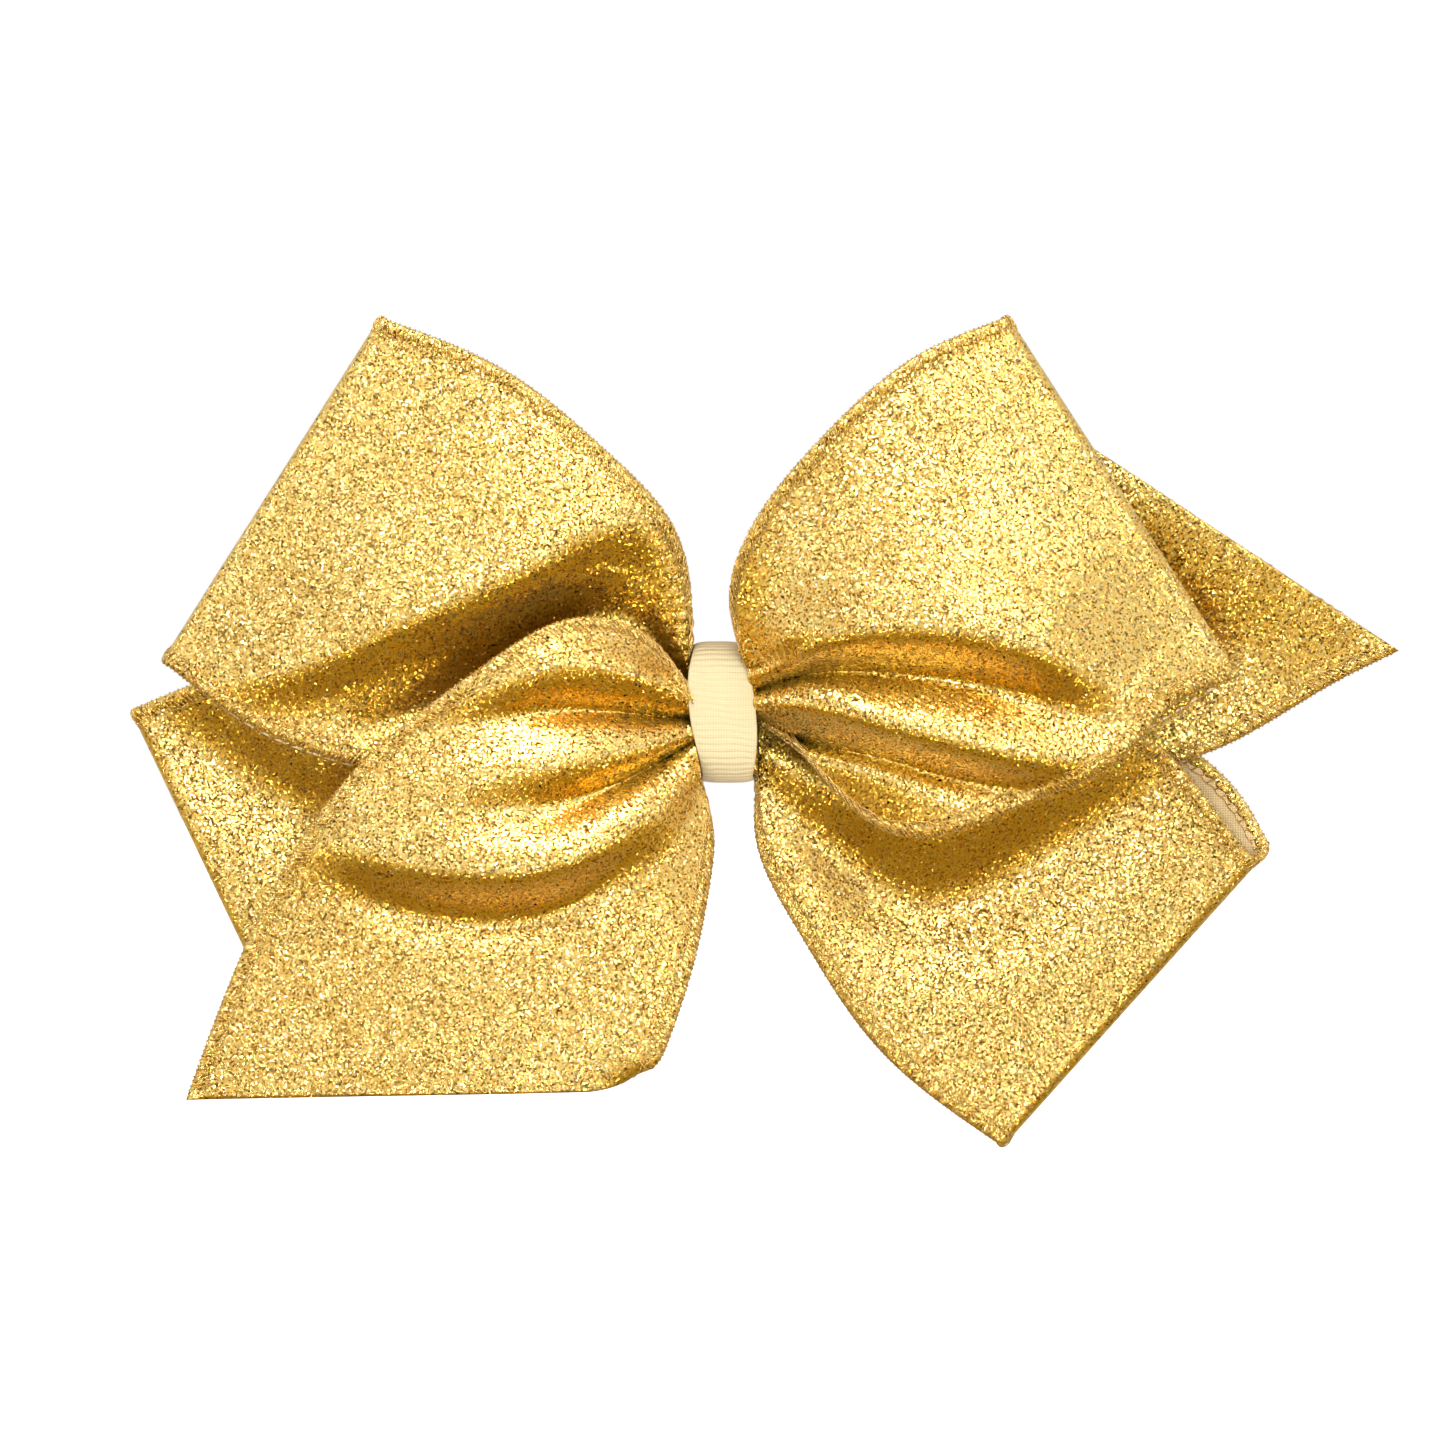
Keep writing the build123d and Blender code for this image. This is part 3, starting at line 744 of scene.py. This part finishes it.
def knot_core():
    """The ribbon's five passes, gathered into a bundle of narrow pleats under the wrap."""
    count, steps = ((260, 16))
    path, out = ring_outline(count, 0.75)
    path[:, 0] = np.minimum(path[:, 0], CORE_BACK)
    turn = np.arange(count) / count * 2 * math.pi
    rings = []
    for x in np.linspace(-WRAP_HALF, WRAP_HALF, steps):
        flare = 0.2 + 0.5 * smooth((abs(x) - 3) / 2)
        deep = flare * (0.5 * np.sin(17 * turn + 0.3 * x) + 0.5 * np.sin(29 * turn + 1.0)) - flare
        ring = path + out * deep[:, None]
        depth = np.minimum(ring[:, 0], CORE_BACK)
        rings.append(np.stack([np.full(count, x), depth, ring[:, 1]], -1))
    rings = np.array(rings) * MM
    core = make_object("vis_ribbon_core", rings.reshape(-1, 3), capped_tubes(rings[None]), GOLD)
    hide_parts("ribbon_core")
    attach(core, "bow")


WRAP_THICK = 0.45
RIB_PITCH = 0.98
# The wrap's edges seen from the front: height above the middle, and place across.
LEFT_EDGE = [(-12, -2.9), (-9.4, -3.1), (-2.1, -4.7), (2.7, -5.2), (6, -5.1), (9.9, -4.3),
             (12, -4.0)]
RIGHT_EDGE = [(-12, 3.9), (-9.7, 4.0), (-6.8, 4.4), (-4, 4.6), (1.3, 4.3), (5.5, 3.5), (9.5, 2.0),
              (12, 1.4)]


def knot_wrap():
    """Cream grosgrain pulled round the knot and the base plate, ribbed across."""
    count, steps = ((1000, 48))
    path, out = ring_outline(count, 0.0)
    front = path[:, 0].min()
    length = np.linalg.norm(np.roll(path, -1, 0) - path, axis=1).sum()
    ribs = round(length / RIB_PITCH)
    across = np.linspace(-1, 1, steps)
    # At the front the edges lean over, and draw in at the top and bottom; behind they are straight.
    left_edge, right_edge = (spline_at(*zip(*edge), path[:, 1]) for edge in (LEFT_EDGE, RIGHT_EDGE))
    facing = 1 - smooth((path[:, 0] - front - 3) / 9)
    left = -WRAP_HALF + facing * (left_edge + WRAP_HALF)
    right = WRAP_HALF + facing * (right_edge - WRAP_HALF)
    selvedge = smooth((1 - np.abs(across)) / 0.16)
    rings = []
    for i, (y, z) in enumerate(path):
        wobble = 0.16 * np.sin(across * 2.3 + z * 0.30) + 0.10 * np.sin(across * 4.9 + z * 0.7)
        phase = math.pi * (ribs * (i / count) + wobble + 0.10 * across * facing[i])
        rib = 0.17 * np.abs(np.sin(phase)) ** 0.6
        grow = rib * selvedge + 0.13 * (1 - selvedge) - 0.35 * np.abs(across) ** 4
        x = (right[i] + left[i]) / 2 + across * (right[i] - left[i]) / 2
        rings.append(np.stack([x, y + out[i, 0] * grow, z + out[i, 1] * grow], -1))
    outer = np.array(rings) * MM
    inner = outer.copy()
    inner[..., 1:] -= out[:, None] * WRAP_THICK * MM
    verts = np.concatenate([outer, inner[:, ::-1]], axis=1).reshape(-1, 3)
    index = np.arange(len(verts)).reshape(count, 2 * steps)
    index = np.concatenate([index, index[:1]])
    following = np.roll(index, -1, axis=1)
    faces = np.stack([index[:-1], following[:-1], following[1:], index[1:]], -1)
    wrap = make_object("vis_knot_wrap", verts, faces.reshape(-1, 4).tolist(), GROSGRAIN)
    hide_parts("knot_wrap")
    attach(wrap, "bow")


knot_core()
knot_wrap()


# ------------------------------------------------------------- CAD pieces that stay
def finish_cad(node, material):
    """Give a CAD piece its material."""
    slots = bpy.data.objects[node].data.materials
    slots.clear()
    slots.append(material)


finish_cad("cinch_thread", TWINE)
finish_cad("glue_pad", GLUE)
for node in ("base_plate", "hinge_pin", "latch_arm", "leaf_spring", "clasp_foot",
             "clasp_rivet", "clasp_prong_upper", "clasp_prong_lower"):
    finish_cad(node, STEEL)
    bevel = bpy.data.objects[node].modifiers.new("edge", "BEVEL")
    bevel.width = 0.00012
    bevel.segments = 2
    bevel.limit_method = "ANGLE"


# ------------------------------------------------------------- studio
FLOOR_Z = -0.16
FLOOR_REACH = 6.0


def floor():
    """Wide pale floor painted to glow: the glow is weakest under the bow, a painted shade there,
    and brightens into the white surroundings a little way out.
    """
    verts = [(FLOOR_REACH * math.cos(a), FLOOR_REACH * math.sin(a), FLOOR_Z)
             for a in np.linspace(0, 2 * math.pi, 48, endpoint=False)]
    mat, tree, shader = new_material("floor", (0.8, 0.8, 0.8), 0.9)
    flat = add(tree, "ShaderNodeVectorMath", operation="MULTIPLY")
    tree.links.new(add(tree, "ShaderNodeTexCoord").outputs["Object"], flat.inputs[0])
    flat.inputs[1].default_value = (1, 1, 0)
    out = add(tree, "ShaderNodeVectorMath", operation="LENGTH")
    tree.links.new(flat.outputs["Vector"], out.inputs[0])
    # Painted glow: emission rising from dim under the bow to full a little way out.
    glow = remap(tree, out.outputs["Value"], 0.02, 0.30, 0.30, 1.0)
    socket(shader, "Emission Color", (1, 1, 1, 1))
    tree.links.new(glow, shader.inputs["Emission Strength"])
    plane = make_object("floor", verts, [list(range(48))], mat)
    plane.visible_glossy = False      # the foil mirrors the dim room below it, not the glow


floor()


def lamp(name, place, size, power, spread):
    """Square or oblong lamp aimed at the knot, unseen itself."""
    light = bpy.data.lights.new(name, "AREA")
    light.shape = "RECTANGLE"
    light.size, light.size_y = size
    light.energy = power
    light.spread = spread
    obj = bpy.data.objects.new(name, light)
    obj.location = place
    obj.rotation_euler = (-Vector(place)).to_track_quat("-Z", "Y").to_euler()
    obj.visible_camera = False
    bpy.context.scene.collection.objects.link(obj)


lamp("key", (-0.15, -0.55, 0.85), (0.45, 0.3), 0.8, 1.2)
lamp("front", (0.25, -1.3, 0.35), (0.3, 0.3), 0.22, 0.8)
# Small hard lamps all round the front, which only the glitter answers: degrees round from
# straight ahead, degrees up, and metres away.
SPARKS = ((-70, 20, 0.9), (-35, 55, 0.9), (0, 75, 0.9), (40, 50, 0.9), (75, 15, 0.9),
          (-20, 12, 1.1), (22, 30, 1.1), (-50, -16, 0.50), (50, -14, 0.52), (-18, -26, 0.32),
          (20, -28, 0.30))
SPARK_RADIANCE = 55.0
SPARK_SIZE = 0.055        # side of each lamp over its distance
SPARK_SPREAD = 3.1
for number, (turn, tilt, away) in enumerate(SPARKS):
    turn, tilt = math.radians(turn), math.radians(tilt)
    place = (away * math.cos(tilt) * math.sin(turn), -away * math.cos(tilt) * math.cos(turn),
             away * math.sin(tilt))
    size = SPARK_SIZE * away
    lamp(f"spark_{number}", place, (size, size), SPARK_RADIANCE * size * size * math.pi,
         SPARK_SPREAD)

SKY = [(0.0, (0.40, 0.33, 0.19)), (0.20, (0.44, 0.37, 0.22)), (0.33, (0.86, 0.81, 0.69)),
       (0.43, (1, 0.99, 0.96)), (0.8, (1, 1, 1))]      # from straight down to straight up


def room():
    """Sky that is warm and dim below, bright above, and plain white to the camera."""
    world = bpy.data.worlds.new("studio")
    bpy.context.scene.world = world
    world.use_nodes = True
    tree = world.node_tree
    link = tree.links.new
    way = add(tree, "ShaderNodeSeparateXYZ")
    link(add(tree, "ShaderNodeTexCoord").outputs["Generated"], way.inputs["Vector"])
    graded = tree.nodes["Background"]
    link(ramp(tree, remap(tree, way.outputs["Z"], -1, 1), SKY), graded.inputs["Color"])
    socket(graded, "Strength", 0.72)
    white = add(tree, "ShaderNodeBackground")
    socket(white, "Color", (1, 1, 1, 1))
    choose = add(tree, "ShaderNodeMixShader")
    link(add(tree, "ShaderNodeLightPath").outputs["Is Camera Ray"], choose.inputs["Fac"])
    link(graded.outputs[0], choose.inputs[1])
    link(white.outputs[0], choose.inputs[2])
    link(choose.outputs[0], tree.nodes["World Output"].inputs["Surface"])


room()
bpy.context.scene.view_settings.view_transform = "Standard"

FRAME_WIDE = 0.2052       # width of the picture at the bow, with the knot at its middle
camera = bpy.data.cameras.new("camera")
camera.lens = 100
camera.sensor_width = 36
camera_obj = bpy.data.objects.new("camera", camera)
bpy.context.scene.collection.objects.link(camera_obj)
far = FRAME_WIDE * camera.lens / camera.sensor_width
camera_obj.location = (-0.0003, -far - 0.02, -0.0015)
camera_obj.rotation_euler = (math.pi / 2, 0, 0)
bpy.context.scene.camera = camera_obj

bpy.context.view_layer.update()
